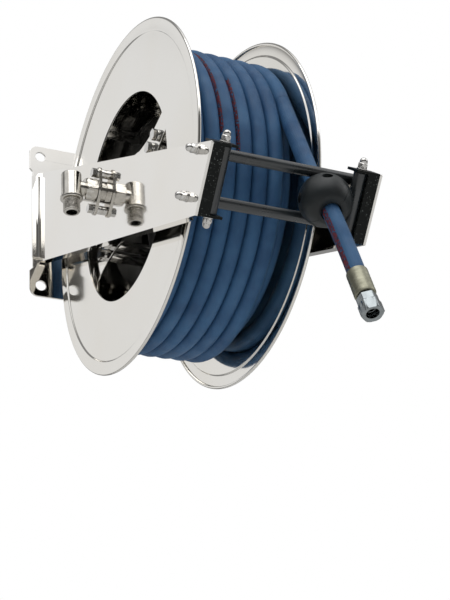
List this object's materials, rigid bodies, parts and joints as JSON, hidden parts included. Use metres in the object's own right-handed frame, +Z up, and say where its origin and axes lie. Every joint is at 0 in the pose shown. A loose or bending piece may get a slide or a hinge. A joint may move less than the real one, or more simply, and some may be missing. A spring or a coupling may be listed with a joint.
{
  "type": "wall-mounted spring rewind hose reel",
  "caption": "Stainless wall-mounted hose reel: open drum with wound blue hose, tapered side arms, roller guide, ball stop, swivel water inlet and spring rewind.",
  "frame": {"origin": "centre of the four wall holes on the back face of the wall plate", "axes": "X along the drum axis, inlet side at -X; +Y into the wall; +Z up"},
  "size_m": [0.2799, 0.6061, 0.5222],
  "materials": {
    "stainless_frame": "satin",
    "stainless_drum": "polished",
    "hammer_black": "hammer finish",
    "roller_black": "satin",
    "fastener_steel": "polished",
    "nickel_brass": "nickel plated",
    "bronze": "plain",
    "seal_rubber": "matt",
    "feed_tube": "matt",
    "motor_case": "black paint",
    "spring_steel": "tempered",
    "shaft_steel": "turned",
    "hose_blue": "smooth cover",
    "ball_rubber": "moulded",
    "zinc_ferrule": "yellow zinc",
    "end_steel": "zinc plated"
  },
  "bodies": {
    "frame": {"wall_plate": "stainless_frame", "inlet_arm": "stainless_frame", "spring_arm": "stainless_frame", "left_guide_bracket": "hammer_black", "right_guide_bracket": "hammer_black", "level_axles": "fastener_steel", "upright_axles": "fastener_steel", "guide_washers": "fastener_steel", "cap_nuts": "fastener_steel", "swivel_housing": "nickel_brass", "housing_screws": "fastener_steel", "swivel_bush": "bronze", "swivel_seals": "seal_rubber", "union_nut": "nickel_brass", "inlet_elbow": "nickel_brass", "spring_arbor": "shaft_steel", "spring_shaft": "shaft_steel", "shaft_nut": "fastener_steel", "pawl_pin": "fastener_steel", "pawl_spring": "spring_steel", "hose_run": "hose_blue", "ball_upper_half": "ball_rubber", "ball_lower_half": "ball_rubber", "ball_screws": "fastener_steel", "hose_ferrule": "zinc_ferrule", "end_tail": "end_steel"},
    "drum": {"near_flange": "stainless_drum", "far_flange": "stainless_drum", "drum_core": "stainless_drum", "near_hub_plate": "stainless_drum", "spacer_studs": "fastener_steel", "swivel_stem": "nickel_brass", "feed_elbow": "nickel_brass", "feed_pipe": "feed_tube", "hose_tail": "nickel_brass", "far_hub_plate": "stainless_drum", "hub_tube": "stainless_drum", "case_screws": "fastener_steel", "shaft_bush": "bronze", "spring_case": "motor_case", "spring_cover": "motor_case", "power_spring": "spring_steel", "ratchet_wheel": "shaft_steel", "hose_pack": "hose_blue", "hose_winding": "hose_blue"},
    "upper_roller": {"upper_roller": "roller_black"},
    "lower_roller": {"lower_roller": "roller_black"},
    "left_roller": {"left_roller": "roller_black"},
    "right_roller": {"right_roller": "roller_black"},
    "pawl": {"pawl": "shaft_steel"},
    "end_nut": {"end_nut": "end_steel"}
  },
  "joints": [
    {"name": "drum_spin", "type": "hinge", "parent": "frame", "child": "drum", "pos_m": [0, -0.2515, -0.0885], "axis": [1, 0, 0], "continuous": true, "deforming": ["hose_run", "power_spring"]},
    {"name": "upper_roller_spin", "type": "hinge", "parent": "frame", "child": "upper_roller", "pos_m": [0, -0.5196, -0.17738], "axis": [1, 0, 0], "continuous": true},
    {"name": "lower_roller_spin", "type": "hinge", "parent": "frame", "child": "lower_roller", "pos_m": [0, -0.48754, -0.21833], "axis": [1, 0, 0], "continuous": true},
    {"name": "left_roller_spin", "type": "hinge", "parent": "frame", "child": "left_roller", "pos_m": [-0.0836, -0.5201, -0.2108], "axis": [0, -0.6165, 0.7874], "continuous": true},
    {"name": "right_roller_spin", "type": "hinge", "parent": "frame", "child": "right_roller", "pos_m": [0.0836, -0.5201, -0.2108], "axis": [0, -0.6165, 0.7874], "continuous": true},
    {"name": "pawl_pivot", "type": "hinge", "parent": "frame", "child": "pawl", "pos_m": [0.0825, -0.1815, -0.0285], "axis": [1, 0, 0], "range_deg": [0, 10], "stiffness_Nm_per_rad": 0.3, "deforming": ["pawl_spring"]},
    {"name": "end_nut_spin", "type": "hinge", "parent": "frame", "child": "end_nut", "pos_m": [0.0434, -0.59328, -0.3752], "axis": [0, -0.3584, -0.9336], "continuous": true}
  ]
}
